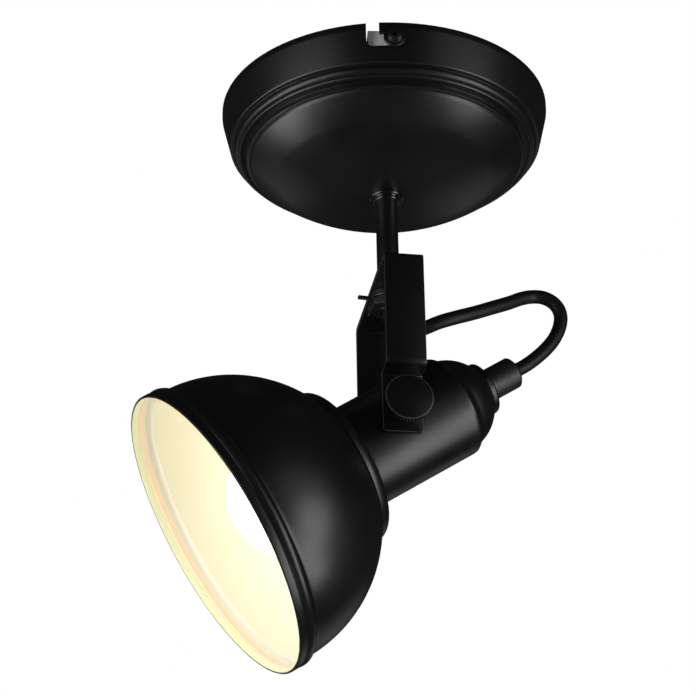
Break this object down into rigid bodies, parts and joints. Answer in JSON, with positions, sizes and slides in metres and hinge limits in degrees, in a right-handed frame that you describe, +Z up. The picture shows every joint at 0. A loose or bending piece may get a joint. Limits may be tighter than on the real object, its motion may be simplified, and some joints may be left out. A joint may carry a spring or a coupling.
{
  "type": "ceiling spotlight",
  "caption": "Small black ceiling spotlight: round beaded canopy, stem, swivelling U-shaped strap and a tilting bell shade with a lit globe bulb, held by knurled hand screws.",
  "frame": {"origin": "centre of the mounting bracket's top face, which bears on the ceiling", "axes": "+Z up into the ceiling, the lamp hangs to -Z. Y runs along the bracket, through both side screws. The shade points to -X and down"},
  "size_m": [0.1554, 0.1254, 0.217],
  "materials": {
    "bracket_steel": "galvanised, dull grey",
    "screw_steel": "black zinc plated, satin",
    "terminal_plastic": "white, smooth",
    "brass_parts": "plain brass",
    "zinc_steel": "zinc plated",
    "black_enamel": "satin black paint",
    "lead_sleeve": "insulated cores, brown, blue and green-yellow",
    "black_textile": "braided black textile sleeve",
    "dark_plastic": "matte black",
    "dark_steel": "blackened steel",
    "shade_enamel": "satin black outside, warm white inside",
    "holder_plastic": "cream, smooth",
    "lamp_glass": "opal white glass, lit warm white",
    "cap_aluminium": "bright",
    "lamp_glass_black": "black glass insulator"
  },
  "bodies": {
    "bracket": {"mounting_bracket": "bracket_steel", "side_screws": "screw_steel", "terminal_block": "terminal_plastic", "terminal_inserts": "brass_parts", "terminal_screws": "zinc_steel", "terminal_fixing_screw": "zinc_steel", "earth_screw": "brass_parts", "earth_lug": "zinc_steel"},
    "canopy": {"canopy_shell": "black_enamel", "stem_collar": "black_enamel", "stem_tube": "black_enamel", "stem_locknut": "zinc_steel", "stem_lock_washer": "zinc_steel", "canopy_leads": "lead_sleeve", "stem_cable": "black_textile", "friction_washer": "dark_plastic", "stop_washer": "dark_steel", "spring_washer": "dark_steel", "swivel_nut": "dark_steel"},
    "yoke": {"yoke_strap": "black_enamel", "stop_pin": "dark_steel", "pivot_washers": "dark_steel", "cable": "black_textile"},
    "head": {"neck_cup": "black_enamel", "shade": "shade_enamel", "pivot_nuts": "zinc_steel", "cable_gland": "dark_plastic", "gland_nut": "dark_plastic", "gland_cable": "black_textile", "lampholder_body": "holder_plastic", "lampholder_shell": "brass_parts", "lampholder_contact": "brass_parts", "lampholder_terminals": "brass_parts", "head_leads": "lead_sleeve", "shade_ring": "holder_plastic", "bulb_glass": "lamp_glass", "bulb_cap": "cap_aluminium", "bulb_insulator": "lamp_glass_black"},
    "front_thumb_screw": {"thumb_screw_front": "black_enamel"},
    "back_thumb_screw": {"thumb_screw_back": "black_enamel"}
  },
  "joints": [
    {"name": "canopy_lock", "type": "hinge", "parent": "bracket", "child": "canopy", "pos_m": [0, 0, 0], "axis": [0, 0, 1], "range_deg": [0, 7.3], "deforming": ["canopy_leads"]},
    {"name": "yoke_swivel", "type": "hinge", "parent": "canopy", "child": "yoke", "pos_m": [0, 0, -0.0767], "axis": [0, 0, 1], "range_deg": [-280, 60]},
    {"name": "head_tilt", "type": "hinge", "parent": "yoke", "child": "head", "pos_m": [0, 0, -0.1328], "axis": [-0.1132, 0.9936, 0], "range_deg": [-30, 55], "deforming": ["cable"]},
    {"name": "front_screw_turn", "type": "hinge", "parent": "head", "child": "front_thumb_screw", "pos_m": [0.0034, -0.02981, -0.1328], "axis": [0.1132, -0.9936, 0], "range_deg": [0, 180]},
    {"name": "back_screw_turn", "type": "hinge", "parent": "head", "child": "back_thumb_screw", "pos_m": [-0.0034, 0.02981, -0.1328], "axis": [-0.1132, 0.9936, 0], "range_deg": [0, 180]}
  ]
}
